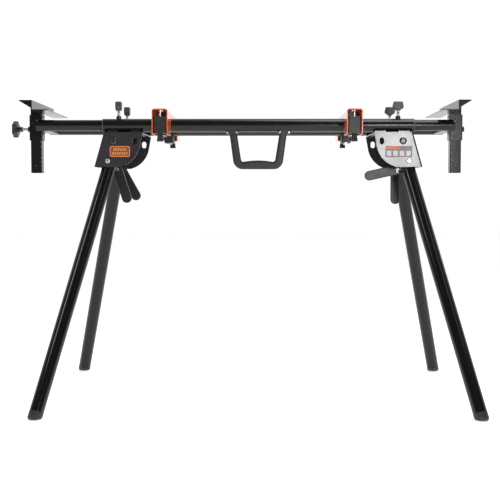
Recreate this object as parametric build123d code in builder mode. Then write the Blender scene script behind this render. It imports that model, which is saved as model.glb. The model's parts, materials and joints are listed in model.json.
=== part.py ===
"""Folding mitre saw stand: twin tube beam, four folding legs, two sliding saw channels
and two pull-out work supports.  Millimetres, +Z up, +X to the right, front at -Y.

Everything is laid out about the middle of the beam.  save() then moves each piece along X,
so that the origin is on the floor below the middle of the whole stand.
"""
from build123d import *
from math import hypot
import os

os.makedirs("parts", exist_ok=True)

# ---- driving dimensions -------------------------------------------------------------------
# beam: two parallel tubes
tube_radius = 19
tube_wall = 2
tube_y = 91
tube_z = 780
beam_half = 438
bushing_collar = 3
bushing_depth = 25

# extension arms that slide inside the beam tubes
arm_radius = 16
arm_wall = 1.5
arm_length = 435
bar_width = 30
left_bar_face = 629
right_bar_face = 555

# post, its sleeve and the work support on top
post_width = 32
post_wall = 2
post_bottom = 647.5
post_top = 838
post_pin_up = 21.5
post_pin_radius = 3.5
sleeve_width = 38
sleeve_bore = 33
sleeve_bottom = 742
sleeve_top = 816
boss_length = 7
support_width = 44
support_half = 150
support_top = 821
support_lip_top = 847
ear_reach = 37
sheet = 2.5

# leg housings
plate_y = 117
plate_wall = 3
housing_top = 760
housing_bottom = 662
housing_inner_x = 326
housing_outer_top_x = 435
housing_outer_bottom_x = 463
housing_arc_radius = 75
housing_slot = (347.5, 734.8)
weld_feet_x = (345, 412)

# legs
pivot_x = 407
pivot_y = 61
pivot_z = 735
foot_x = 582
foot_y = 371
leg_radius = 19
leg_wall = 2
foot_length = 20
foot_plug = 30
bolt_radius = 6
stud_x = 424.3
stud_z = 679.2
stop_radius = 5
stop_along = 58
stop_gap = 0.3

# release levers, between the legs of one end
lever_x = 407
lever_z = 658
lever_y = 42
lever_thick = 12
lever_width = 28
lever_reach = 88
lever_rest = {"front_left": 17.5, "rear_left": 29.0, "front_right": 77.3, "rear_right": 0.0}
tongue_y = 57
lock_pin_radius = 4
lever_shaft_radius = 4

# saw channels
left_channel_x = -267.5
right_channel_x = 262.5
channel_width = 43
channel_bottom = 749
channel_top = 817.5
channel_half = 215
channel_window_top = 777
saddle_bottom = 776
jaw_top = 771
front_jaw_bottom = 752
rear_jaw_bottom = 739
jaw_length = 60
clamp_bolt_radius = 3
slot_width = 8.5
slot_near = 126
slot_far = 210
saw_bolt_y = 200
saw_bolt_radius = 4
saw_knob_bottom = 729
saw_knob_top = 751
guide_block_top = 797
guide_block_width = 33
guide_block_length = 18

# lock knobs on the beam and the post knob
knob_x = 395.5
screw_radius = 4
screw_gap = 0.4
running = 0.06
boss_radius = 7
post_knob_z = 775
post_stem = 16
post_hub = 13
post_grip = 15
lock_knob_bottom = 821.5
lock_knob_top = 847

# carry handle
handle_top_half = 84.3
handle_bottom_half = 67.8
handle_arm = 20.5
handle_bottom = 656
handle_grip = 20
handle_grip_swell = 5
handle_depth = 26

# the stand reaches further left than right, so its middle is left of the beam's middle
left_end = left_bar_face + sleeve_width + boss_length + post_stem + post_hub + post_grip
right_end = right_bar_face + sleeve_width + boss_length
frame_shift = (left_end - right_end) / 2

sides = {"left": -1, "right": 1}
rows = {"front": -1, "rear": 1}


# ---- helpers ------------------------------------------------------------------------------
def front_plane(y):
    """Upright plane at depth y: sketch x is +X, sketch y is +Z, and it faces the front."""
    return Plane.XZ.offset(-y)


def side_plane(x):
    """Upright plane at x: sketch x is +Y, sketch y is +Z, and it faces +X."""
    return Plane.YZ.offset(x)


def save(piece, name):
    placed = piece.moved(Location((frame_shift, 0, 0)))
    placed.label = name
    export_step(placed, f"parts/{name}.step")


def bar_face(side):
    return left_bar_face if side < 0 else right_bar_face


def post_x(side):
    return side * (bar_face(side) + sleeve_width / 2)


def channel_x(side):
    return left_channel_x if side < 0 else right_channel_x


# ---- beam ---------------------------------------------------------------------------------
def make_beam_tube(row):
    with BuildPart() as tube:
        with BuildSketch(side_plane(-beam_half)):
            with Locations((row * tube_y, tube_z)):
                Circle(tube_radius)
                Circle(tube_radius - tube_wall, mode=Mode.SUBTRACT)
        extrude(amount=2 * beam_half)
        with BuildSketch(Plane.XY.offset(tube_z)):
            with Locations((-knob_x, row * tube_y), (knob_x, row * tube_y)):
                Circle(screw_radius + running)
        extrude(amount=tube_radius + 1, mode=Mode.SUBTRACT)
    return tube.part


def make_end_bushings():
    """Plastic guide rings pressed into the beam's four open ends, each with a thin collar."""
    with BuildPart() as rings:
        for side in sides.values():
            for row in rows.values():
                collar = Plane(origin=(side * beam_half, row * tube_y, tube_z), z_dir=(side, 0, 0))
                with BuildSketch(collar):
                    Circle(tube_radius)
                    Circle(arm_radius + running, mode=Mode.SUBTRACT)
                extrude(amount=bushing_collar)
                with BuildSketch(collar):
                    Circle(tube_radius - tube_wall)
                    Circle(arm_radius + running, mode=Mode.SUBTRACT)
                extrude(amount=-bushing_depth)
    return rings.part


def make_weld_nuts():
    """Threaded bosses on top of the beam for the lock screws."""
    with BuildPart() as nuts:
        with BuildSketch(Plane.XY.offset(tube_z)):
            with Locations(*[(x, y) for x in (-knob_x, knob_x) for y in (-tube_y, tube_y)]):
                Circle(boss_radius)
                Circle(screw_radius + running, mode=Mode.SUBTRACT)
        extrude(amount=tube_radius + 7)
        with BuildSketch(side_plane(-beam_half)):
            with Locations((-tube_y, tube_z), (tube_y, tube_z)):
                Circle(tube_radius)
        extrude(amount=2 * beam_half, mode=Mode.SUBTRACT)
    return nuts.part


def make_handle():
    """Moulded U-shaped carry handle with a fuller grip and two feet that fit the front tube."""
    grip_inner = handle_bottom_half - handle_arm
    grip_top = handle_bottom + handle_grip
    with BuildPart() as handle:
        with BuildSketch(front_plane(-tube_y)) as face:
            with BuildLine():
                Polyline(
                    (-handle_top_half, tube_z),
                    (handle_top_half, tube_z),
                    (handle_bottom_half, handle_bottom),
                    (-handle_bottom_half, handle_bottom),
                    close=True,
                )
            make_face()
            fillet(face.vertices().group_by(Axis.Y)[0], 27)
        extrude(amount=handle_depth / 2, both=True)
        with BuildSketch(front_plane(-tube_y)) as gap:
            with BuildLine():
                Polyline(
                    (grip_inner, grip_top),
                    (handle_top_half - handle_arm, tube_z + 1),
                    (-handle_top_half + handle_arm, tube_z + 1),
                    (-grip_inner, grip_top),
                )
                ThreePointArc((-grip_inner, grip_top), (0, grip_top + handle_grip_swell), (grip_inner, grip_top))
            make_face()
            fillet(gap.vertices().group_by(Axis.Y)[0], 7)
        extrude(amount=handle_depth, both=True, mode=Mode.SUBTRACT)
        long_edges = handle.edges().filter_by(GeomType.LINE).filter_by(Axis.Y, reverse=True)
        fillet(long_edges.filter_by(lambda e: e.center().Z < tube_z - 15 and e.length > 60), 6)
        foot_x_mid = handle_top_half - handle_arm / 2
        with BuildSketch(Plane.XY.offset(tube_z - tube_radius - 5)):
            with Locations((-foot_x_mid, -tube_y), (foot_x_mid, -tube_y)):
                RectangleRounded(handle_arm + 14, handle_depth, 5)
        extrude(amount=tube_radius)
        with BuildSketch(side_plane(-2 * handle_top_half)):
            with Locations((-tube_y, tube_z)):
                Circle(tube_radius)
        extrude(amount=4 * handle_top_half, mode=Mode.SUBTRACT)
        split(bisect_by=Plane.XY.offset(tube_z - 8), keep=Keep.BOTTOM)
    return handle.part


def make_handle_screws():
    """Pan head screws on the front edges of the handle's two feet."""
    foot_x_mid = handle_top_half - handle_arm / 2
    spots = [s * foot_x_mid + o for s in (-1, 1) for o in (-13, 13)]
    with BuildPart() as screws:
        with BuildSketch(front_plane(-tube_y - handle_depth / 2)):
            with Locations(*[(x, tube_z - tube_radius - 1) for x in spots]):
                Circle(3)
        extrude(amount=2)
        fillet(screws.faces().sort_by(Axis.Y)[0:4].edges(), 1.2)
    return screws.part


# ---- leg housings -------------------------------------------------------------------------
def housing_outline(side):
    """Side plate outline, with the inner edge a round arc about the leg pivot."""
    arc_low_x = pivot_x - (housing_arc_radius**2 - (pivot_z - housing_bottom) ** 2) ** 0.5
    arc_mid = (pivot_x - housing_arc_radius * 0.766, pivot_z - housing_arc_radius * 0.643)
    arc_high_z = 722
    arc_high_x = pivot_x - (housing_arc_radius**2 - (pivot_z - arc_high_z) ** 2) ** 0.5
    Polyline(
        (side * arc_high_x, arc_high_z),
        (side * housing_inner_x, housing_top),
        (side * housing_outer_top_x, housing_top),
        (side * housing_outer_bottom_x, housing_bottom),
        (side * arc_low_x, housing_bottom),
    )
    ThreePointArc(
        (side * arc_low_x, housing_bottom),
        (side * arc_mid[0], arc_mid[1]),
        (side * arc_high_x, arc_high_z),
    )


def make_housing(side):
    """Folded sheet housing: front and rear plates, a slanted web on the outside and a top."""
    lean = (housing_outer_bottom_x - housing_outer_top_x) / (housing_top - housing_bottom)
    inner_top = housing_top - plate_wall
    inner_x = housing_outer_top_x - plate_wall * 1.04
    with BuildPart() as hollow:
        with BuildSketch(Plane.XZ):
            with BuildLine():
                Polyline(
                    (side * 200, inner_top),
                    (side * (inner_x + lean * plate_wall), inner_top),
                    (side * (inner_x + lean * 200), housing_top - 200),
                    (side * 200, housing_top - 200),
                    close=True,
                )
            make_face()
        extrude(amount=plate_y - plate_wall, both=True)
        outer = hollow.edges().filter_by(Axis.Y, reverse=True).filter_by(GeomType.LINE)
        fillet(outer.filter_by(lambda e: abs(e.center().X) > 400 and e.length > 100), 1.2)
    with BuildPart() as housing:
        with BuildSketch(Plane.XZ):
            with BuildLine():
                housing_outline(side)
            make_face()
        extrude(amount=plate_y, both=True)
        slanted = housing.edges().filter_by(GeomType.LINE).filter_by(Axis.Y, reverse=True)
        fillet(slanted.filter_by(lambda e: abs(e.center().X) > 440 and e.length > 60), 5)
        add(hollow.part, mode=Mode.SUBTRACT)
        with BuildSketch(Plane.XZ):
            with Locations((side * pivot_x, pivot_z)):
                Circle(bolt_radius)
            with Locations((side * stud_x, stud_z)):
                Circle(5)
            with Locations((side * housing_slot[0], housing_slot[1])):
                SlotOverall(19.5, 13, rotation=90)
        extrude(amount=plate_y + 5, both=True, mode=Mode.SUBTRACT)
        with BuildSketch(Plane.XY.offset(inner_top)):
            spots = [(side * x, y) for x in weld_feet_x for y in (-tube_y, tube_y)]
            with Locations(*spots):
                Rectangle(30, 24)
        extrude(amount=tube_z - inner_top)
        with BuildSketch(side_plane(-beam_half)):
            with Locations((-tube_y, tube_z), (tube_y, tube_z)):
                Circle(tube_radius)
        extrude(amount=2 * beam_half, mode=Mode.SUBTRACT)
        split(bisect_by=Plane.XY.offset(tube_z - tube_radius + 4), keep=Keep.BOTTOM)
    return housing.part


def make_pivot_bolts():
    """One long bolt with a domed head at each end, through both plates and both legs."""
    with BuildPart() as bolts:
        for side in sides.values():
            with BuildSketch(Plane.XZ):
                with Locations((side * pivot_x, pivot_z)):
                    Circle(bolt_radius)
            extrude(amount=plate_y, both=True)
            for row in rows.values():
                head = Plane(
                    origin=(side * pivot_x, row * plate_y, pivot_z),
                    x_dir=(1, 0, 0),
                    z_dir=(0, row, 0),
                )
                with BuildSketch(head):
                    Circle(10)
                extrude(amount=6)
        ends = bolts.faces().filter_by(Axis.Y).filter_by(lambda f: abs(f.center().Y) > plate_y + 5)
        fillet(ends.edges(), 4.5)
    return bolts.part


def make_studs():
    """Round-headed studs that close the outer end of each lock hole."""
    with BuildPart() as studs:
        for side in sides.values():
            for row in rows.values():
                seat = Plane(
                    origin=(side * stud_x, row * plate_y, stud_z),
                    x_dir=(1, 0, 0),
                    z_dir=(0, row, 0),
                )
                with BuildSketch(seat):
                    Circle(7)
                extrude(amount=4)
                with BuildSketch(seat):
                    Circle(5)
                extrude(amount=-plate_wall - 1.5)
        outer = studs.faces().filter_by(lambda f: abs(f.center().Y) > plate_y + 3.5)
        fillet(outer.edges(), 3)
    return studs.part


def leg_lean(side):
    """Unit vector in the XZ plane from the pivot down the open leg, and its outward normal."""
    length = hypot(foot_x - pivot_x, pivot_z)
    down = ((foot_x - pivot_x) / length, -pivot_z / length)
    return (side * down[0], down[1]), (side * -down[1], down[0])


def make_cross_pins():
    """The bars that the open legs rest against, and the shafts that carry the levers."""
    with BuildPart() as pins:
        for side in sides.values():
            down, out = leg_lean(side)
            reach = leg_radius + stop_radius + stop_gap
            stop_x = side * pivot_x + stop_along * down[0] + reach * out[0]
            stop_z = pivot_z + stop_along * down[1] + reach * out[1]
            with BuildSketch(Plane.XZ):
                with Locations((stop_x, stop_z)):
                    Circle(stop_radius)
            extrude(amount=plate_y - plate_wall, both=True)
            with BuildSketch(Plane.XZ):
                with Locations((side * lever_x, lever_z)):
                    Circle(lever_shaft_radius)
            extrude(amount=tongue_y, both=True)
            for row in rows.values():
                head = Plane(
                    origin=(side * lever_x, row * tongue_y, lever_z),
                    x_dir=(1, 0, 0),
                    z_dir=(0, row, 0),
                )
                with BuildSketch(head):
                    Circle(5.5)
                extrude(amount=3)
    return pins.part


def make_lever_bracket(side):
    """Bracket inside the housing: two tongues that carry the lever shaft and the lock pins."""
    web_inner = housing_outer_bottom_x - plate_wall * 1.04
    pocket = 100
    lean = (housing_outer_bottom_x - housing_outer_top_x) / (housing_top - housing_bottom)
    with BuildPart() as bracket:
        with BuildSketch(Plane.XZ) as tongue:
            with BuildLine():
                Polyline(
                    (side * web_inner, housing_bottom),
                    (side * (web_inner - lean * 6), housing_bottom + 6),
                    (side * (stud_x + 12), stud_z - 3),
                    (side * (stud_x + 10), stud_z + 10),
                    (side * (lever_x - 1), lever_z + 25),
                    (side * (lever_x - 11), lever_z + 10),
                    (side * (lever_x - 11), lever_z - 11),
                    (side * (lever_x + 11), lever_z - 11),
                    (side * (lever_x + 25), housing_bottom),
                    close=True,
                )
            make_face()
        extrude(amount=tongue_y, both=True)
        with BuildSketch(Plane.XZ):
            with Locations((side * (web_inner - 5 - pocket / 2), lever_z)):
                Rectangle(pocket, pocket)
        extrude(amount=tongue_y - plate_wall, both=True, mode=Mode.SUBTRACT)
        with BuildSketch(Plane.XZ):
            with Locations((side * lever_x, lever_z)):
                Circle(lever_shaft_radius)
            with Locations((side * stud_x, stud_z)):
                Circle(lock_pin_radius + running)
        extrude(amount=tongue_y + 5, both=True, mode=Mode.SUBTRACT)
    return bracket.part


# ---- legs and levers ----------------------------------------------------------------------
def make_leg(side, row):
    """Leg tube with a rounded top and the bush that turns on the pivot bolt."""
    pivot = Vector(side * pivot_x, row * pivot_y, pivot_z)
    foot = Vector(side * foot_x, row * foot_y, 0)
    along = (foot - pivot).normalized()
    end_of_tube = (foot - pivot).length - foot_length
    with BuildPart() as leg:
        with BuildSketch(Plane(origin=pivot - along * 24, z_dir=along)):
            Circle(leg_radius)
            Circle(leg_radius - leg_wall, mode=Mode.SUBTRACT)
        extrude(amount=24 + end_of_tube)
        with BuildSketch(Plane.XZ):
            with Locations((side * pivot_x, pivot_z + 25)):
                Rectangle(90, 50)
            with Locations((side * pivot_x, pivot_z)):
                Circle(21, mode=Mode.SUBTRACT)
        extrude(amount=200, both=True, mode=Mode.SUBTRACT)
        bush = Plane(origin=(side * pivot_x, row * 36, pivot_z), x_dir=(1, 0, 0), z_dir=(0, row, 0))
        with BuildSketch(bush):
            Circle(9.5)
        extrude(amount=77.4)
        with BuildSketch(bush):
            Circle(bolt_radius + running)
        extrude(amount=80, mode=Mode.SUBTRACT)
        lock = Plane(origin=(side * stud_x, row * 50, stud_z), x_dir=(1, 0, 0), z_dir=(0, row, 0))
        with BuildSketch(lock):
            Circle(lock_pin_radius + 0.5)
        extrude(amount=32, mode=Mode.SUBTRACT)
    return leg.part


def make_foot(side, row):
    """Rubber plug in the leg's end, flush with the tube and cut level with the floor."""
    pivot = Vector(side * pivot_x, row * pivot_y, pivot_z)
    foot = Vector(side * foot_x, row * foot_y, 0)
    along = (foot - pivot).normalized()
    tube_end = Plane(origin=foot - along * foot_length, z_dir=along)
    with BuildPart() as cap:
        with BuildSketch(tube_end):
            Circle(leg_radius)
        extrude(amount=3 * foot_length)
        split(bisect_by=Plane.XY, keep=Keep.TOP)
        fillet(cap.edges().group_by(Axis.Z)[0], 6)
        with BuildSketch(tube_end):
            Circle(leg_radius - leg_wall)
        extrude(amount=-foot_plug)
    return cap.part


def make_lever(side, row, rest_angle):
    """Moulded release lever: ribbed outside, narrower and smooth inside with grip bars."""
    inner_face = row * (lever_y - lever_thick / 2)
    face = Plane(
        origin=(side * lever_x, inner_face, lever_z),
        x_dir=(-row, 0, 0),
        z_dir=(0, row, 0),
    )
    with BuildPart() as lever:
        with BuildSketch(face):
            with Locations((0, -lever_reach / 2)):
                SlotCenterToCenter(lever_reach, lever_width, rotation=90)
        extrude(amount=lever_thick)
        ends = lever.faces().filter_by(Axis.Y).sort_by(Axis.Y)
        inner, outer = (ends[0], ends[-1]) if row > 0 else (ends[-1], ends[0])
        chamfer(inner.edges(), 2.5, 1.8)
        fillet(outer.edges(), 2)
        with BuildSketch(face):
            with Locations((0, -lever_reach * 0.3)):
                SlotOverall(20, 11, rotation=90)
        extrude(amount=7, mode=Mode.SUBTRACT)
        with BuildSketch(face):
            with Locations(*[(0, -lever_reach * 0.58 - 7 * i) for i in range(4)]):
                SlotOverall(14, 2.4)
        extrude(amount=-0.9)
        with BuildSketch(face.offset(lever_thick)):
            for rib_gap in (-9, -3, 3, 9):
                with Locations((rib_gap, -lever_reach * 0.57)):
                    SlotOverall(lever_reach * 0.8, 3.4, rotation=90)
        extrude(amount=-2.2, mode=Mode.SUBTRACT)
        with BuildSketch(face):
            Circle(lever_shaft_radius + running)
        extrude(amount=lever_thick, mode=Mode.SUBTRACT)
    pivot_axis = Axis((side * lever_x, 0, lever_z), (0, side, 0))
    return lever.part.rotate(pivot_axis, rest_angle)


def make_lock_pin(side, row):
    """Plunger that the lever moves into the leg, drawn back clear of it."""
    inner = Plane(origin=(side * stud_x, row * 40, stud_z), x_dir=(1, 0, 0), z_dir=(0, row, 0))
    with BuildPart() as pin:
        with BuildSketch(inner):
            Circle(lock_pin_radius)
        extrude(amount=22)
        chamfer(pin.edges(), 0.8)
        with BuildSketch(inner.offset(1.5)):
            Circle(6.5)
        extrude(amount=2)
    return pin.part


# ---- extension arms, posts and work supports ------------------------------------------------
def make_arm_tubes(side):
    outer = bar_face(side)
    with BuildPart() as tubes:
        start = side * outer if side < 0 else side * (outer - arm_length)
        with BuildSketch(side_plane(start)):
            with Locations((-tube_y, tube_z), (tube_y, tube_z)):
                Circle(arm_radius)
                Circle(arm_radius - arm_wall, mode=Mode.SUBTRACT)
        extrude(amount=arm_length)
    return tubes.part


def make_cross_bar(side):
    """Square tube between the two extension tubes, coped to them."""
    middle = side * (bar_face(side) - bar_width / 2)
    with BuildPart() as bar:
        with BuildSketch(Plane.XZ):
            with Locations((middle, tube_z)):
                RectangleRounded(bar_width, bar_width, 3)
                Rectangle(bar_width - 4, bar_width - 4, mode=Mode.SUBTRACT)
        extrude(amount=tube_y, both=True)
        with BuildSketch(side_plane(middle - bar_width)):
            with Locations((-tube_y, tube_z), (tube_y, tube_z)):
                Circle(arm_radius)
        extrude(amount=2 * bar_width, mode=Mode.SUBTRACT)
    return bar.part


def make_sleeve(side):
    """Square sleeve for the post, with a threaded boss on its outer face."""
    with BuildPart() as sleeve:
        with BuildSketch(Plane.XY.offset(sleeve_bottom)):
            with Locations((post_x(side), 0)):
                RectangleRounded(sleeve_width, sleeve_width, 3)
                Rectangle(sleeve_bore, sleeve_bore, mode=Mode.SUBTRACT)
        extrude(amount=sleeve_top - sleeve_bottom)
        wall = side * (bar_face(side) + sleeve_width)
        boss = Plane(origin=(wall, 0, post_knob_z), z_dir=(side, 0, 0))
        with BuildSketch(boss):
            Circle(boss_radius + 1)
        extrude(amount=boss_length)
        with BuildSketch(boss.offset(-5)):
            Circle(screw_radius + running)
        extrude(amount=15, mode=Mode.SUBTRACT)
        with BuildSketch(front_plane(0)):
            with Locations((post_x(side) - side * 6, sleeve_bottom + 13)):
                Circle(2.2)
        extrude(amount=sleeve_width, mode=Mode.SUBTRACT)
    return sleeve.part


def make_post(side):
    with BuildPart() as post:
        with BuildSketch(Plane.XY.offset(post_bottom)):
            with Locations((post_x(side), 0)):
                RectangleRounded(post_width, post_width, 2.5)
                Rectangle(post_width - 2 * post_wall, post_width - 2 * post_wall, mode=Mode.SUBTRACT)
        extrude(amount=post_top - post_bottom)
        with BuildSketch(Plane.XZ):
            with Locations((post_x(side), post_bottom + post_pin_up)):
                Circle(post_pin_radius)
        extrude(amount=post_width, both=True, mode=Mode.SUBTRACT)
    return post.part


def make_post_pin(side):
    """Rivet pin through the post's foot that stops it from lifting out of the sleeve."""
    with BuildPart() as pin:
        with BuildSketch(Plane.XZ):
            with Locations((post_x(side), post_bottom + post_pin_up)):
                Circle(post_pin_radius)
        extrude(amount=post_width / 2 + 2, both=True)
        fillet(pin.edges(), 1)
    return pin.part


def make_post_cap(side):
    with BuildPart() as cap:
        with BuildSketch(Plane.XY.offset(post_top)):
            with Locations((post_x(side), 0)):
                RectangleRounded(post_width, post_width, 2.5)
        extrude(amount=3)
        fillet(cap.faces().sort_by(Axis.Z)[-1].edges(), 1.5)
        with BuildSketch(Plane.XY.offset(post_top)):
            with Locations((post_x(side), 0)):
                Rectangle(post_width - 2 * post_wall, post_width - 2 * post_wall)
        extrude(amount=-12)
    return cap.part


def make_work_support(side):
    """Bent sheet rest: level plate, upright lip on the post, and a triangular ear at each end."""
    lip = post_x(side) - side * post_width / 2
    near = lip - side * sheet
    far = near - side * support_width
    with BuildPart() as support:
        with BuildSketch(Plane.XZ):
            with BuildLine():
                Polyline(
                    (lip, support_lip_top),
                    (near, support_lip_top),
                    (near, support_top),
                    (far, support_top),
                    (far, support_top - sheet),
                    (lip, support_top - sheet),
                    close=True,
                )
            make_face()
        extrude(amount=support_half, both=True)
        ear_tip = lip + side * ear_reach
        for row in rows.values():
            with BuildSketch(front_plane(row * support_half)) as ear:
                with BuildLine():
                    Polyline(
                        (near, support_lip_top),
                        (ear_tip, support_lip_top),
                        (lip, support_top + 4),
                        (near, support_top + 4),
                        close=True,
                    )
                make_face()
                fillet(ear.vertices().sort_by(Axis.X)[-1 if side > 0 else 0], 1.5)
            extrude(amount=row * sheet)
        corners = support.edges().filter_by(Axis.Z)
        tips = corners.filter_by(lambda e: abs(e.center().X - far) < 0.1)
        fillet(tips, 6)
    return support.part


def make_post_knob():
    """Round lobed hand knob with its clamp screw; the screw stops just short of the left post."""
    wall = -(left_bar_face + sleeve_width)
    hub_start = wall - boss_length - post_stem
    hub = Plane(origin=(hub_start, 0, post_knob_z), z_dir=(-1, 0, 0))
    with BuildPart() as knob:
        with BuildSketch(hub):
            Circle(7.5)
        extrude(amount=post_hub + 2)
        with BuildSketch(hub.offset(post_hub)):
            Circle(21)
            with PolarLocations(16, 6):
                Circle(8)
        extrude(amount=post_grip)
        grip_faces = knob.faces().filter_by(Axis.X).filter_by(lambda f: f.area > 900)
        fillet(grip_faces.edges().filter_by(lambda e: e.length > 5), 3)
        with BuildSketch(hub):
            Circle(screw_radius)
        extrude(amount=-(post_stem + boss_length + (sleeve_width - post_width) / 2 - screw_gap))
    return knob.part


def make_lock_knob(side, row):
    """Wing knob with its screw, standing on top of the beam; left ones are seen edge-on."""
    wing_dir = (0, 1, 0) if side < 0 else (1, 0, 0)
    across = (1, 0, 0) if side < 0 else (0, 1, 0)
    centre = Vector(side * knob_x, row * tube_y, 0)
    blade = Plane(origin=centre, x_dir=wing_dir, z_dir=across)
    up = 1 if blade.y_dir.Z > 0 else -1
    half_outline = [
        (7, lock_knob_bottom),
        (8, lock_knob_bottom + 4.5),
        (14, lock_knob_bottom + 5.5),
        (15.5, lock_knob_bottom + 11),
        (12.5, lock_knob_top),
    ]
    with BuildPart() as knob:
        with BuildSketch(blade) as outline:
            with BuildLine():
                right_side = [(x, z * up) for x, z in half_outline]
                left_side = [(-x, z * up) for x, z in reversed(half_outline)]
                Polyline(*right_side, *left_side, close=True)
            make_face()
            wide = outline.vertices().filter_by(lambda v: (Vector(*v) - centre).dot(Vector(*wing_dir)) ** 2 > 100)
            fillet(wide.filter_by(lambda v: abs(v.Z - lock_knob_bottom - 5.5) > 1), 3)
        extrude(amount=8.5, both=True)
        blade_faces = knob.faces().filter_by(Plane(origin=centre, z_dir=across))
        chamfer(blade_faces.edges(), 2)
        with BuildSketch(Plane.XY.offset(tube_z + arm_radius + screw_gap)):
            with Locations((centre.X, centre.Y)):
                Circle(screw_radius)
        extrude(amount=lock_knob_top - tube_z - tube_radius)
    return knob.part


# ---- saw channels -------------------------------------------------------------------------
def make_channel(side):
    """Pressed inverted channel across both beam tubes, notched for them, slotted on top."""
    middle = channel_x(side)
    half = channel_width / 2
    with BuildPart() as channel:
        with BuildSketch(Plane.XZ) as section:
            with Locations((middle, (channel_top + channel_bottom) / 2)):
                Rectangle(channel_width, channel_top - channel_bottom)
            fillet(section.vertices().group_by(Axis.Y)[-1], 7)
        extrude(amount=channel_half, both=True)
        with BuildSketch(Plane.XZ) as inside:
            with Locations((middle, (channel_top - sheet + channel_bottom - 10) / 2)):
                Rectangle(channel_width - 2 * sheet, channel_top - sheet - channel_bottom + 10)
            fillet(inside.vertices().group_by(Axis.Y)[-1], 7 - sheet)
        extrude(amount=channel_half, both=True, mode=Mode.SUBTRACT)
        with BuildSketch(side_plane(middle)):
            for y in (-tube_y, tube_y):
                with Locations((y, tube_z)):
                    Circle(tube_radius + 0.5)
                with Locations((y, tube_z - 25)):
                    Rectangle(2 * tube_radius + 1, 50)
            with Locations((0, channel_window_top - 25)):
                Rectangle(2 * tube_y, 50)
        extrude(amount=half + 5, both=True, mode=Mode.SUBTRACT)
        with BuildSketch(Plane.XY.offset(channel_top - 10)):
            slot_middle = (slot_near + slot_far) / 2
            with Locations((middle, -slot_middle), (middle, slot_middle)):
                SlotOverall(slot_far - slot_near, slot_width, rotation=90)
        extrude(amount=20, mode=Mode.SUBTRACT)
    return channel.part


def make_saddles(side):
    """Moulded saddle blocks that fill the channel above each beam tube."""
    inner = channel_width - 2 * sheet
    with BuildPart() as saddles:
        with BuildSketch(Plane.XY.offset(saddle_bottom)):
            with Locations(*[(channel_x(side), y) for y in (-tube_y, tube_y)]):
                Rectangle(inner, jaw_length)
        extrude(amount=channel_top - sheet - saddle_bottom)
        tops = saddles.edges().filter_by(Axis.Y).group_by(Axis.Z)[-1]
        fillet(tops, 7 - sheet)
        with BuildSketch(side_plane(channel_x(side))):
            with Locations((-tube_y, tube_z), (tube_y, tube_z)):
                Circle(tube_radius + 0.35)
        extrude(amount=inner, both=True, mode=Mode.SUBTRACT)
        with BuildSketch(Plane.XY.offset(saddle_bottom - 16)):
            with Locations(*clamp_bolt_spots(side)):
                Circle(clamp_bolt_radius)
        extrude(amount=32, mode=Mode.SUBTRACT)
    return saddles.part


def clamp_bolt_spots(side):
    return [(channel_x(side), row * tube_y + o) for row in rows.values() for o in (-25, 25)]


def jaw_bottom(row):
    return front_jaw_bottom if row < 0 else rear_jaw_bottom


def make_clamp_jaws(side):
    """Lower jaws under each tube; the rear jaw is deeper and has finger grooves."""
    with BuildPart() as jaws:
        for row in rows.values():
            width = 20 if row < 0 else 28
            with BuildSketch(Plane.XY.offset(jaw_bottom(row))):
                with Locations((channel_x(side), row * tube_y)):
                    RectangleRounded(width, jaw_length, 4)
            extrude(amount=jaw_top - jaw_bottom(row))
        for step in range(3):
            with BuildSketch(front_plane(tube_y - jaw_length / 2)):
                with Locations((channel_x(side), rear_jaw_bottom + 4 + 6 * step)):
                    SlotOverall(20, 2.4)
            extrude(amount=-1.5, mode=Mode.SUBTRACT)
        with BuildSketch(side_plane(channel_x(side))):
            with Locations((-tube_y, tube_z), (tube_y, tube_z)):
                Circle(tube_radius + 0.35)
        extrude(amount=30, both=True, mode=Mode.SUBTRACT)
        with BuildSketch(Plane.XY.offset(rear_jaw_bottom - 9)):
            with Locations(*clamp_bolt_spots(side)):
                Circle(clamp_bolt_radius)
        extrude(amount=60, mode=Mode.SUBTRACT)
    return jaws.part


def make_clamp_bolts(side):
    """Four bolts that draw each lower jaw up to its saddle."""
    with BuildPart() as bolts:
        for spot in clamp_bolt_spots(side):
            low = jaw_bottom(spot[1])
            with BuildSketch(Plane.XY.offset(low)):
                with Locations(spot):
                    Circle(clamp_bolt_radius)
            extrude(amount=saddle_bottom + 16 - low)
            with BuildSketch(Plane.XY.offset(low)):
                with Locations(spot):
                    RegularPolygon(5, 6)
            extrude(amount=-3)
    return bolts.part


def make_saw_bolt(side, row):
    """M8 stud in the channel's slot, with its tapered hand knob and the block that guides it."""
    spot = (channel_x(side), row * saw_bolt_y)
    with BuildPart() as bolt:
        with BuildSketch(Plane.XY.offset(saw_knob_bottom + 6)):
            with Locations(spot):
                Circle(saw_bolt_radius)
        extrude(amount=channel_top - 1 - saw_knob_bottom - 6)
        with BuildSketch(Plane.XY.offset(saw_knob_bottom)):
            with Locations(spot):
                Circle(9.5)
        extrude(amount=saw_knob_top - saw_knob_bottom, taper=8)
        fillet(bolt.edges().sort_by(Axis.Z)[0], 1.5)
        with BuildSketch(Plane.XY.offset(saw_knob_bottom)):
            with Locations(spot):
                with PolarLocations(10.3, 8):
                    Circle(1.9)
        extrude(amount=17, mode=Mode.SUBTRACT)
        with BuildSketch(Plane.XY.offset(saw_knob_top)) as block:
            with Locations(spot):
                Rectangle(guide_block_width, guide_block_length)
            fillet(block.vertices(), 2)
        extrude(amount=guide_block_top - saw_knob_top)
    return bolt.part


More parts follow.
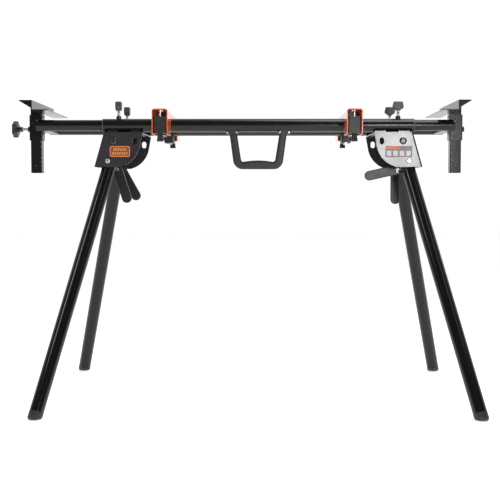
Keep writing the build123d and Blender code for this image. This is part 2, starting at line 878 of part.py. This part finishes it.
# ---- build and write every piece ------------------------------------------------------------
for row_name, row in rows.items():
    save(make_beam_tube(row), f"{row_name}_beam_tube")
save(make_end_bushings(), "beam_end_bushings")
save(make_weld_nuts(), "lock_weld_nuts")
save(make_handle(), "carry_handle")
save(make_handle_screws(), "handle_screws")
save(make_pivot_bolts(), "leg_pivot_bolts")
save(make_studs(), "housing_studs")
save(make_cross_pins(), "housing_cross_pins")
save(make_post_knob(), "left_post_knob")

for side_name, side in sides.items():
    save(make_housing(side), f"{side_name}_housing")
    save(make_lever_bracket(side), f"{side_name}_lever_bracket")
    save(make_arm_tubes(side), f"{side_name}_extension_tubes")
    save(make_cross_bar(side), f"{side_name}_cross_bar")
    save(make_sleeve(side), f"{side_name}_post_sleeve")
    save(make_post(side), f"{side_name}_post")
    save(make_post_pin(side), f"{side_name}_post_pin")
    save(make_post_cap(side), f"{side_name}_post_cap")
    save(make_work_support(side), f"{side_name}_work_support")
    save(make_channel(side), f"{side_name}_saw_channel")
    save(make_saddles(side), f"{side_name}_saddles")
    save(make_clamp_jaws(side), f"{side_name}_clamp_jaws")
    save(make_clamp_bolts(side), f"{side_name}_clamp_bolts")
    for row_name, row in rows.items():
        corner = f"{row_name}_{side_name}"
        save(make_leg(side, row), f"{corner}_leg")
        save(make_foot(side, row), f"{corner}_foot")
        save(make_lever(side, row, lever_rest[corner]), f"{corner}_lever")
        save(make_lock_pin(side, row), f"{corner}_lock_pin")
        save(make_lock_knob(side, row), f"{corner}_lock_knob")
        save(make_saw_bolt(side, row), f"{corner}_saw_bolt")
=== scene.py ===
import json
import math
import random

import bmesh
import bpy
from mathutils import Matrix, Vector


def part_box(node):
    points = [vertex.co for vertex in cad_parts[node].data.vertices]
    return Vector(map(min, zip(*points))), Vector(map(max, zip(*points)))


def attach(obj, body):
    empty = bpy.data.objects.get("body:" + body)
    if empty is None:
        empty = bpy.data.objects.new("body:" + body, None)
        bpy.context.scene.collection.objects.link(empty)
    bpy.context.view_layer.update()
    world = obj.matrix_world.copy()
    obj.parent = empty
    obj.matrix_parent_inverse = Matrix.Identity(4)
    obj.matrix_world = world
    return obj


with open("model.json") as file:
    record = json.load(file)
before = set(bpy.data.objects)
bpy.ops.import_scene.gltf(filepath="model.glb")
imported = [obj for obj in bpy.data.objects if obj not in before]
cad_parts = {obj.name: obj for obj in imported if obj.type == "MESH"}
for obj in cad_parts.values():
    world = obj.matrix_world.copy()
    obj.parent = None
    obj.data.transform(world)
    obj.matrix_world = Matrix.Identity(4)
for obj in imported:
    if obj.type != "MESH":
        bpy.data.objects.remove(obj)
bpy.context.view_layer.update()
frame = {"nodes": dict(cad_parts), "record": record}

# ---- places, in metres --------------------------------------------------------------------
housing_low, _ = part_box("left_housing")
plate_front = housing_low.y
beam_low, beam_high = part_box("front_beam_tube")
beam_middle = (beam_low.x + beam_high.x) / 2
tube_radius = (beam_high.z - beam_low.z) / 2
tube_y = -(beam_low.y + beam_high.y) / 2
tube_z = (beam_low.z + beam_high.z) / 2


# ---- shader maths -------------------------------------------------------------------------
class Wire:
    """A socket with arithmetic: each operator adds one Math node."""

    def __init__(self, shop, socket):
        self.shop = shop
        self.socket = socket

    def _math(self, operation, *values):
        return self.shop.node("ShaderNodeMath", {"operation": operation}, dict(enumerate(values)))

    def __add__(self, other):
        return self._math("ADD", self, other)

    def __sub__(self, other):
        return self._math("SUBTRACT", self, other)

    def __mul__(self, other):
        return self._math("MULTIPLY", self, other)

    def __truediv__(self, other):
        return self._math("DIVIDE", self, other)

    def __rtruediv__(self, other):
        return self._math("DIVIDE", other, self)

    def __rsub__(self, other):
        return self._math("SUBTRACT", other, self)

    __radd__ = __add__
    __rmul__ = __mul__

    def __pow__(self, other):
        return self._math("POWER", self, other)

    def above(self, level, soft):
        """0 below the level and 1 above it, over a soft edge."""
        return self.shop.node(
            "ShaderNodeMapRange",
            {"clamp": True},
            {"Value": self, "From Min": level - soft, "From Max": level + soft},
        )

    def between(self, low, high):
        limits = {"Value": self, "To Min": low, "To Max": high}
        return self.shop.node("ShaderNodeMapRange", {"clamp": True}, limits)


class NodeBench:
    """Builds nodes in one tree; every node comes from node()."""

    def __init__(self, tree):
        self.tree = tree

    def node(self, kind, settings, inputs, output=0):
        made = self.tree.nodes.new(kind)
        for key, value in settings.items():
            setattr(made, key, value)
        for key, value in inputs.items():
            socket = made.inputs[key]
            if isinstance(value, Wire):
                self.tree.links.new(value.socket, socket)
            else:
                socket.default_value = value
        return Wire(self, made.outputs[output])


class Finish(NodeBench):
    """One material: a Principled shader and the nodes that feed it."""

    def __init__(self, name):
        self.material = bpy.data.materials.new(name)
        self.material.use_nodes = True
        super().__init__(self.material.node_tree)
        self.shader = self.tree.nodes["Principled BSDF"]
        self.place = self.node("ShaderNodeTexCoord", {}, {}, "Object")

    def stretched(self, scale):
        return self.node("ShaderNodeVectorMath", {"operation": "MULTIPLY"}, {0: self.place, 1: scale}, "Vector")

    def noise(self, size, detail=3.0, rough=0.55, stretch=None, lean=0.0):
        """Smooth noise whose lumps are about `size` metres across."""
        where = self.place if stretch is None else self.stretched(stretch)
        return self.node(
            "ShaderNodeTexNoise",
            {},
            {"Vector": where, "Scale": 1 / size, "Detail": detail, "Roughness": rough, "Distortion": lean},
            "Fac",
        )

    def specks(self, size, share):
        """Sparse round specks, 1 inside each."""
        cells = self.node("ShaderNodeTexVoronoi", {}, {"Vector": self.place, "Scale": 1 / size}, "Distance")
        return 1 - cells.above(share, share * 0.4)

    def axis(self, letter):
        return self.node("ShaderNodeSeparateXYZ", {}, {0: self.place}, letter)

    def facing_up(self):
        normal = self.node("ShaderNodeNewGeometry", {}, {}, "Normal")
        return self.node("ShaderNodeSeparateXYZ", {}, {0: normal}, "Z")

    def blend(self, factor, first, second):
        mixed = self.tree.nodes.new("ShaderNodeMix")
        mixed.data_type = "RGBA"
        sockets = [s for s in mixed.inputs if s.type == "RGBA"]
        self.tree.links.new(factor.socket, mixed.inputs["Factor"])
        for socket, value in zip(sockets, (first, second)):
            if isinstance(value, Wire):
                self.tree.links.new(value.socket, socket)
            else:
                socket.default_value = (*value, 1.0)
        return Wire(self, next(s for s in mixed.outputs if s.type == "RGBA"))

    def set(self, **values):
        for key, value in values.items():
            socket = self.shader.inputs[key.replace("_", " ")]
            if isinstance(value, Wire):
                self.tree.links.new(value.socket, socket)
            elif isinstance(value, tuple):
                socket.default_value = (*value, 1.0)
            else:
                socket.default_value = value

    def bump(self, height, depth):
        """Bump of about `depth` metres from a 0 to 1 height."""
        made = self.node("ShaderNodeBump", {}, {"Height": height, "Strength": 1.0, "Distance": depth}, "Normal")
        self.tree.links.new(made.socket, self.shader.inputs["Normal"])


# ---- finishes -----------------------------------------------------------------------------
def powder_coat(name, tint, worn_tint, roughness, peel=0.00009, scuffs=0.2, stretch=(1.0, 1.0, 1.0), shine=0.5):
    """Powder coat: orange-peel skin, cloudy gloss, fine dust, and scuffs that show greyer paint."""
    paint = Finish(name)
    clouds = paint.noise(0.09, 4)
    peel_skin = paint.noise(0.0022, 2, 0.5)
    scratch = paint.noise(0.02, 6, 0.7, stretch)
    scuff = scratch.above(0.64, 0.03) * clouds.above(0.5, 0.12) * scuffs
    # fine pale specks of dust
    dust_and_sheen = paint.specks(0.004, 0.05) * 0.1
    dark = tuple(0.85 * c for c in tint)
    light = tuple(1.15 * c for c in tint)
    shade = paint.blend(clouds.above(0.5, 0.3), dark, light)
    paint.set(
        Base_Color=paint.blend(scuff + dust_and_sheen, shade, worn_tint),
        Roughness=clouds.between(roughness - 0.05, roughness + 0.05) + scuff * 0.4,
        Specular_IOR_Level=shine,
    )
    paint.bump(peel_skin * 0.8 + scratch * 0.2, peel)
    return paint.material


def beam_paint():
    worn, along = (0.04, 0.04, 0.04), (0.15, 1, 1)
    return powder_coat("beam_paint", (0.008, 0.008, 0.009), worn, 0.20, stretch=along, shine=0.38)


def leg_paint():
    worn, along = (0.04, 0.04, 0.04), (1, 1, 0.12)
    return powder_coat("leg_paint", (0.006, 0.006, 0.0065), worn, 0.15, stretch=along, shine=0.38)


def arm_paint():
    """The scuffs run along the extension tubes, where the guide bushings rub."""
    worn, along = (0.06, 0.06, 0.06), (0.08, 1, 1)
    return powder_coat("arm_paint", (0.008, 0.008, 0.009), worn, 0.20, scuffs=0.3, stretch=along, shine=0.36)


def housing_paint():
    worn = (0.08, 0.08, 0.085)
    return powder_coat("housing_paint", (0.034, 0.031, 0.037), worn, 0.20, peel=0.00005, scuffs=0.15)


def support_paint():
    worn = (0.06, 0.06, 0.06)
    return powder_coat("support_paint", (0.010, 0.010, 0.0105), worn, 0.15, peel=0.00004, scuffs=0.25, shine=0.40)


def orange_paint():
    """Glossy orange coat with patches of brown grime, and grey metal where the notch edges rub the tubes."""
    paint = Finish("orange_paint")
    clouds = paint.noise(0.07, 4)
    peel_skin = paint.noise(0.0020, 2, 0.5)
    chips = paint.noise(0.006, 5, 0.75)
    low = 1 - paint.axis("Z").above(0.757, 0.006)
    worn = chips.above(0.66, 0.02) * (low * 0.6 + 0.02)
    shade = paint.blend(clouds, (0.74, 0.115, 0.022), (0.88, 0.155, 0.034))
    grime = paint.noise(0.03, 5, 0.6).above(0.62, 0.1) * 0.15
    dirty = paint.blend(grime, shade, (0.34, 0.08, 0.03))
    paint.set(
        Base_Color=paint.blend(worn, dirty, (0.16, 0.13, 0.12)),
        Roughness=clouds.between(0.22, 0.32) + worn * 0.25,
        Coat_Weight=0.8,
        Coat_Roughness=0.06,
    )
    paint.bump(peel_skin - worn * 0.6, 0.00013)
    return paint.material


def zinc_parts(finish):
    """Colour, roughness and height of bright zinc plate, to set alone or to mix into a knob."""
    stain = finish.noise(0.006, 4)
    lines = finish.noise(0.0012, 3, 0.6, (1, 1, 0.1))
    colour = finish.blend(stain, (0.62, 0.61, 0.58), (0.80, 0.79, 0.77))
    return colour, stain.between(0.18, 0.36), lines


def zinc_steel():
    steel = Finish("zinc_steel")
    colour, roughness, lines = zinc_parts(steel)
    steel.set(Base_Color=colour, Roughness=roughness, Metallic=1.0)
    steel.bump(lines, 0.00004)
    return steel.material


def black_nickel():
    """Dark bright plating of the domed bolt heads, hazy in patches and lightly scratched."""
    plating = Finish("black_nickel")
    haze = plating.noise(0.005, 4)
    lines = plating.noise(0.0014, 3, 0.6, (1, 1, 0.15))
    plating.set(
        Base_Color=plating.blend(haze, (0.06, 0.058, 0.056), (0.11, 0.105, 0.10)),
        Roughness=haze.between(0.24, 0.38) + lines.above(0.66, 0.03) * 0.2,
        Metallic=1.0,
    )
    plating.bump(lines, 0.00003)
    return plating.material


def moulded(name, tint, roughness, grain=0.0009, depth=0.00006, metal=None):
    """Moulded black plastic with a fine spark texture; `metal` says where its screw shows."""
    plastic = Finish(name)
    texture = plastic.noise(grain, 3, 0.6)
    clouds = plastic.noise(0.025, 4)
    # pale dust on the upward faces
    dust_and_sheen = plastic.facing_up().above(0.75, 0.25) * clouds.above(0.5, 0.2) * 0.2
    lighter = tuple(1.25 * c for c in tint)
    colour = plastic.blend(dust_and_sheen, plastic.blend(clouds, tint, lighter), (0.10, 0.097, 0.093))
    rough = clouds.between(roughness - 0.06, roughness + 0.08)
    if metal is None:
        plastic.set(Base_Color=colour, Roughness=rough)
        plastic.bump(texture, depth)
        return plastic.material
    letter, level, side = metal
    mask = plastic.axis(letter).above(level, 0.0001)
    mask = mask if side > 0 else 1 - mask
    zinc_colour, zinc_rough, _ = zinc_parts(plastic)
    plastic.set(
        Base_Color=plastic.blend(mask, colour, zinc_colour),
        Roughness=rough * (1 - mask) + zinc_rough * mask,
        Metallic=mask,
    )
    plastic.bump(texture, depth)
    return plastic.material


def foot_rubber():
    rubber = Finish("foot_rubber")
    clouds = rubber.noise(0.02, 5)
    grit = rubber.noise(0.0016, 3, 0.7)
    # Paler grey patches on the lowest 24 mm of the feet: a painted sheen, standing in for the pale floor's
    # reflection on the rubber
    near_floor = 1 - rubber.axis("Z").above(0.012, 0.012)
    dust_and_sheen = near_floor * clouds.above(0.48, 0.15) * 0.5
    rubber.set(
        Base_Color=rubber.blend(dust_and_sheen, (0.014, 0.014, 0.015), (0.10, 0.095, 0.09)),
        Roughness=clouds.between(0.45, 0.62),
    )
    rubber.bump(grit, 0.00012)
    return rubber.material


def weld_metal():
    """Weld beads, painted over: dark, glossy and rippled."""
    bead = Finish("weld_paint")
    ripple = bead.noise(0.0016, 3, 0.6)
    bead.set(
        Base_Color=bead.blend(ripple, (0.012, 0.012, 0.013), (0.03, 0.029, 0.031)),
        Roughness=ripple.between(0.3, 0.5),
    )
    bead.bump(ripple, 0.0003)
    return bead.material


def printed(name, tint, roughness=0.38):
    """Printed label film: faint mottling and a few rubbed spots."""
    film = Finish(name)
    mottle = film.noise(0.004, 4)
    rubbed = film.noise(0.011, 5, 0.7).above(0.68, 0.04) * 0.3
    shade = film.blend(mottle, tuple(0.92 * c for c in tint), tuple(min(1.0, 1.05 * c) for c in tint))
    film.set(Base_Color=film.blend(rubbed, shade, tuple(0.5 * c + 0.1 for c in tint)), Roughness=roughness)
    film.bump(mottle, 0.00002)
    return film.material


finishes = {
    "black_tube": beam_paint(),
    "arm_tube": arm_paint(),
    "housing_paint": housing_paint(),
    "support_paint": support_paint(),
    "orange_paint": orange_paint(),
    "zinc_steel": zinc_steel(),
    "black_plastic": moulded("black_plastic", (0.013, 0.013, 0.014), 0.36),
    "guide_plastic": moulded("guide_plastic", (0.050, 0.050, 0.052), 0.42),
    "lever_plastic": moulded("lever_plastic", (0.012, 0.012, 0.013), 0.33, depth=0.00008),
    "foot_rubber": foot_rubber(),
}

# where bare screw shows beside moulded plastic on the knobs and saw bolts
_, lock_knob_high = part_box("front_left_lock_knob")
post_knob_low, post_knob_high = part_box("left_post_knob")
saw_bolt_low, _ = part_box("front_left_saw_bolt")
lock_knob_height = 0.0255
post_knob_thickness = 0.028
stud_bare_from = 0.068
lock_screw_top = lock_knob_high.z - lock_knob_height
post_screw_start = post_knob_low.x + post_knob_thickness
guide_block_top = saw_bolt_low.z + stud_bare_from
by_ending = {
    "_leg": leg_paint(),
    "_lock_knob": moulded("lock_knob_plastic", (0.055, 0.053, 0.058), 0.42, metal=("Z", lock_screw_top, -1)),
    "_saw_bolt": moulded("saw_knob_plastic", (0.014, 0.014, 0.015), 0.40, metal=("Z", guide_block_top, 1)),
    "_post_knob": moulded("post_knob_plastic", (0.012, 0.012, 0.013), 0.34, metal=("X", post_screw_start, 1)),
    "leg_pivot_bolts": black_nickel(),
    "_post_pin": powder_coat("pin_paint", (0.020, 0.020, 0.021), (0.25, 0.25, 0.24), 0.30, scuffs=0.6),
}


def dress(node, material):
    data = frame["nodes"][node].data
    data.materials.clear()
    data.materials.append(material)
    for face in data.polygons:
        face.material_index = 0


for entry in frame["record"]["subparts"]:
    special = [paint for ending, paint in by_ending.items() if entry["node"].endswith(ending)]
    dress(entry["node"], special[0] if special else finishes[entry["material_slot"]])


# ---- mesh pieces --------------------------------------------------------------------------
def piece_from(mesh_code, name, material, body, smooth=True):
    data = bpy.data.meshes.new(name)
    mesh_code.to_mesh(data)
    mesh_code.free()
    data.materials.append(material)
    for face in data.polygons:
        face.use_smooth = smooth
    made = bpy.data.objects.new(name, data)
    bpy.context.scene.collection.objects.link(made)
    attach(made, body)
    return made


def add_bead(mesh_code, start, end, radius, seed):
    """A weld bead from start to end: overlapping ripples on a rounded ridge, tapered at both ends."""
    dice = random.Random(seed)
    run = end - start
    along = run.normalized()
    across = along.orthogonal().normalized()
    up = along.cross(across)
    steps = max(8, int(run.length / (radius * 0.35)))
    rings = []
    for i in range(steps + 1):
        t = i / steps
        taper = math.sin(math.pi * min(1, max(0, 0.08 + 0.84 * t))) ** 0.35
        ripple = 1 + 0.14 * math.sin(i * 1.9) + dice.uniform(-0.05, 0.05)
        size = radius * taper * ripple
        centre = start + run * t
        rings.append(
            [
                mesh_code.verts.new(
                    centre + size * (math.cos(a) * across + math.sin(a) * up)
                )
                for a in (2 * math.pi * k / 8 for k in range(8))
            ]
        )
    for low, high in zip(rings, rings[1:]):
        for k in range(8):
            mesh_code.faces.new((low[k], low[(k + 1) % 8], high[(k + 1) % 8], high[k]))
    mesh_code.faces.new(reversed(rings[0]))
    mesh_code.faces.new(rings[-1])


def housing_welds():
    """Beads along the feet of each housing where they meet the beam tubes."""
    bead_paint = weld_metal()
    saddle_half = 0.012
    drop = math.sqrt(tube_radius**2 - saddle_half**2)
    for side_name in ("left", "right"):
        side = -1 if side_name == "left" else 1
        beads = bmesh.new()
        seed = 11 + side
        for x_out in (0.345, 0.412):
            for y in (-tube_y, tube_y):
                for edge in (-saddle_half, saddle_half):
                    middle = Vector((beam_middle + side * x_out, y + edge, tube_z - drop))
                    half = Vector((0.014, 0, 0))
                    add_bead(beads, middle - half, middle + half, 0.0017, seed)
                    seed += 7
        piece_from(beads, f"{side_name}_housing_weld_beads", bead_paint, "root")


def arm_welds():
    """Beads where each cross bar meets its tubes and its post sleeve."""
    bead_paint = weld_metal()
    for side_name in ("left", "right"):
        side = -1 if side_name == "left" else 1
        bar_low, bar_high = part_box(f"{side_name}_cross_bar")
        sleeve_low, sleeve_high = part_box(f"{side_name}_post_sleeve")
        beads = bmesh.new()
        joint_x = bar_low.x if side < 0 else bar_high.x
        for y, seed in ((sleeve_low.y + 0.001, 3), (sleeve_high.y - 0.001, 5)):
            start = Vector((joint_x, y, bar_low.z + 0.001))
            end = Vector((joint_x, y, bar_high.z - 0.001))
            add_bead(beads, start, end, 0.0016, seed)
        for z, seed in ((bar_low.z, 9), (bar_high.z, 12)):
            start = Vector((joint_x, sleeve_low.y + 0.002, z))
            end = Vector((joint_x, sleeve_high.y - 0.002, z))
            add_bead(beads, start, end, 0.0016, seed)
        arm_radius = 0.016
        reach = math.sqrt(arm_radius**2 - (0.6 * arm_radius) ** 2)
        for y_side in (-1, 1):
            for z_side in (-1, 1):
                z = tube_z + z_side * 0.6 * arm_radius
                y = y_side * (tube_y - reach)
                start = Vector((bar_low.x + 0.002, y, z))
                end = Vector((bar_high.x - 0.002, y, z))
                add_bead(beads, start, end, 0.0014, 20 + y_side + 3 * z_side)
        piece_from(beads, f"{side_name}_arm_weld_beads", bead_paint, f"{side_name}_arm")


def rounded_plate(mesh_code, centre, width, height, corner, front, back):
    """A thin upright plate with rounded corners and a softened front edge, facing the front."""
    def outline(inset, y):
        ring = []
        for sx, sz, start in ((1, 1, 0), (-1, 1, 90), (-1, -1, 180), (1, -1, 270)):
            cx = centre.x + sx * (width / 2 - corner)
            cz = centre.z + sz * (height / 2 - corner)
            for k in range(7):
                a = math.radians(start + 15 * k)
                r = corner - inset
                ring.append(mesh_code.verts.new((cx + r * math.cos(a), y, cz + r * math.sin(a))))
        return ring

    soft = min(0.0002, corner * 0.4)
    rear = outline(0, back)
    edge = outline(0, front + soft)
    face = outline(soft, front)
    for low, high in ((rear, edge), (edge, face)):
        for k in range(len(low)):
            mesh_code.faces.new((low[k], high[k], high[(k + 1) % len(low)], low[(k + 1) % len(low)]))
    mesh_code.faces.new(face)
    mesh_code.faces.new(list(reversed(rear)))


def slanted_bar(mesh_code, centre, width, height, lean, front, back):
    corners = [(-0.5, -0.5), (0.5, -0.5), (0.5, 0.5), (-0.5, 0.5)]
    rings = []
    for y in (front, back):
        rings.append(
            [mesh_code.verts.new((centre.x + u * width + v * lean, y, centre.z + v * height)) for u, v in corners]
        )
    near, far = rings
    mesh_code.faces.new(near)
    mesh_code.faces.new(list(reversed(far)))
    for k in range(4):
        mesh_code.faces.new((near[k], far[k], far[(k + 1) % 4], near[(k + 1) % 4]))


def badge():
    """Plain badge on the left housing: an orange rim, a dark field and rows of blank slanted bars."""
    centre = Vector((beam_middle - 0.3895, 0, 0.7056))
    film, ink = 0.0005, 0.00075
    rim = bmesh.new()
    rounded_plate(rim, centre, 0.057, 0.030, 0.005, plate_front - film, plate_front)
    orange = printed("badge_orange", (0.80, 0.25, 0.055), 0.4)
    piece_from(rim, "left_badge_rim", orange, "root", False)
    field = bmesh.new()
    rounded_plate(field, centre, 0.0515, 0.0245, 0.003, plate_front - ink, plate_front - film + 0.0001)
    brown = printed("badge_brown", (0.16, 0.07, 0.04), 0.45)
    piece_from(field, "left_badge_field", brown, "root", False)
    bars = bmesh.new()
    for row, count in ((0.25, 6), (-0.25, 7)):
        for step in range(count):
            spot = centre + Vector(((step - (count - 1) / 2) * 0.0065, 0, row * 0.0215))
            front = plate_front - ink - 0.0002
            slanted_bar(bars, spot, 0.0040, 0.0078, 0.0020, front, front + 0.0003)
    piece_from(bars, "left_badge_bars", orange, "root", False)


def notice_plate():
    """Plain grey plate on the right housing: a pale orange header and blank tiles."""
    centre = Vector((beam_middle + 0.395, 0, 0.7050))
    width, height = 0.075, 0.031
    film, ink = 0.0005, 0.0007
    plate = bmesh.new()
    rounded_plate(plate, centre, width, height, 0.002, plate_front - film, plate_front)
    grey = printed("notice_grey", (0.27, 0.25, 0.26), 0.6)
    piece_from(plate, "right_notice_plate", grey, "root", False)
    header = bmesh.new()
    header_middle = centre + Vector((-width * 0.21, 0, height * 0.34))
    rounded_plate(
        header, header_middle, width * 0.54, height * 0.26, 0.001, plate_front - ink, plate_front - film + 0.0001
    )
    pale = printed("notice_orange", (0.75, 0.22, 0.12), 0.6)
    piece_from(header, "right_notice_header", pale, "root", False)
    tiles = bmesh.new()
    for step in range(4):
        middle = centre + Vector(((step - 1.5) * width * 0.242, 0, -height * 0.16))
        rounded_plate(
            tiles, middle, width * 0.17, height * 0.46, 0.0015, plate_front - ink, plate_front - film + 0.0001
        )
    white = printed("notice_white", (0.70, 0.69, 0.70), 0.55)
    piece_from(tiles, "right_notice_tiles", white, "root", False)


def screw_thread(name, start, along, length, radius, body):
    """A helical ridge round the bare part of a clamp screw."""
    pitch, depth, around = 0.0014, 0.0004, 20
    sunk = 0.0001
    half_root = 0.42 * pitch
    side = along.orthogonal().normalized()
    up = along.cross(side)
    ridge = bmesh.new()
    rings = []
    for k in range(int(length / pitch * around) + 1):
        angle = 2 * math.pi * k / around
        out = math.cos(angle) * side + math.sin(angle) * up
        middle = start + along * (pitch * k / around)
        low = middle - along * half_root + out * (radius - sunk)
        crest = middle + out * (radius + depth)
        high = middle + along * half_root + out * (radius - sunk)
        rings.append([ridge.verts.new(point) for point in (low, crest, high)])
    for first, second in zip(rings, rings[1:]):
        for k in range(3):
            ridge.faces.new((first[k], second[k], second[(k + 1) % 3], first[(k + 1) % 3]))
    ridge.faces.new(reversed(rings[0]))
    ridge.faces.new(rings[-1])
    piece_from(ridge, name, finishes["zinc_steel"], body, False)


def screw_threads():
    radius = 0.004
    for side_name in ("left", "right"):
        for row_name in ("front", "rear"):
            body = f"{row_name}_{side_name}_lock_knob"
            low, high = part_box(body)
            middle = (low + high) / 2
            start = Vector((middle.x, middle.y, lock_screw_top - 0.0137))
            screw_thread(f"{body}_thread", start, Vector((0, 0, 1)), 0.0130, radius, body)
    middle = (post_knob_low + post_knob_high) / 2
    start = Vector((post_screw_start + 0.0008, middle.y, middle.z))
    screw_thread("left_post_knob_thread", start, Vector((1, 0, 0)), 0.0140, radius, "left_post_knob")


housing_welds()
arm_welds()
badge()
notice_plate()
screw_threads()


# ---- floor, light and camera ----------------------------------------------------------------
def plain_floor():
    data = bmesh.new()
    reach = 14.0
    corners = [(-reach, -reach), (reach, -reach), (reach, reach), (-reach, reach)]
    data.faces.new([data.verts.new((x, y, -0.0005)) for x, y in corners])
    mesh = bpy.data.meshes.new("studio_floor")
    data.to_mesh(mesh)
    data.free()
    surface = Finish("studio_floor")
    surface.set(
        Base_Color=surface.blend(surface.noise(0.8, 2), (0.88, 0.88, 0.88), (0.91, 0.91, 0.91)),
        Roughness=0.8,
        Emission_Color=(1.0, 1.0, 1.0),
        Emission_Strength=0.50,
    )
    mesh.materials.append(surface.material)
    floor = bpy.data.objects.new("studio_floor", mesh)
    bpy.context.scene.collection.objects.link(floor)


def soft_box(name, place, aim, width, height, brightness):
    """A rectangular light; its brightness is radiance, so a larger box isn't a dimmer one."""
    data = bpy.data.lights.new(name, "AREA")
    data.shape = "RECTANGLE"
    data.size = width
    data.size_y = height
    data.energy = brightness * math.pi * width * height
    lamp = bpy.data.objects.new(name, data)
    lamp.location = place
    lamp.rotation_euler = (Vector(aim) - Vector(place)).to_track_quat("-Z", "Y").to_euler()
    bpy.context.scene.collection.objects.link(lamp)


def studio():
    """White backdrop behind, a dim room in front, a slightly paler ceiling, and soft boxes for the glints."""
    world = bpy.data.worlds.new("studio")
    world.use_nodes = True
    bench = NodeBench(world.node_tree)
    toward = bench.node("ShaderNodeTexCoord", {}, {}, "Generated")
    behind = bench.node("ShaderNodeSeparateXYZ", {}, {0: toward}, "Y").above(0.10, 0.25)
    overhead = bench.node("ShaderNodeSeparateXYZ", {}, {0: toward}, "Z").above(0.88, 0.12)
    brightness = behind * 0.99 + overhead * 0.10 * (1 - behind) + 0.06
    backdrop = world.node_tree.nodes["Background"]
    backdrop.inputs["Color"].default_value = (1.0, 1.0, 1.0, 1.0)
    world.node_tree.links.new(brightness.socket, backdrop.inputs["Strength"])
    bpy.context.scene.world = world
    soft_box("plate_box", (0.84, -3.10, 0.84), (0.46, -0.12, 0.71), 0.36, 0.30, 52.0)
    soft_box("left_box", (-1.70, -1.50, 1.90), (-0.45, -0.2, 0.40), 0.60, 0.90, 6.0)
    soft_box("right_box", (1.75, -1.50, 1.90), (0.50, -0.2, 0.40), 0.40, 0.90, 2.0)
    soft_box("top_box", (0.85, -0.30, 2.60), (0.75, -0.1, 0.78), 1.40, 1.60, 4.5)


def camera():
    data = bpy.data.cameras.new("camera")
    image_width = 500
    focal_in_pixels = 1004.78
    data.sensor_width = 36.0
    data.lens = data.sensor_width * focal_in_pixels / image_width
    pitch, yaw = math.radians(-3.08), math.radians(-0.5885)
    view = bpy.data.objects.new("camera", data)
    view.location = (beam_middle + 0.00625, -2.95447, 0.58466)
    view.rotation_euler = (math.radians(90) + pitch, 0.0, -yaw)
    bpy.context.scene.collection.objects.link(view)
    bpy.context.scene.camera = view


plain_floor()
studio()
camera()
bpy.context.scene.view_settings.view_transform = "Standard"
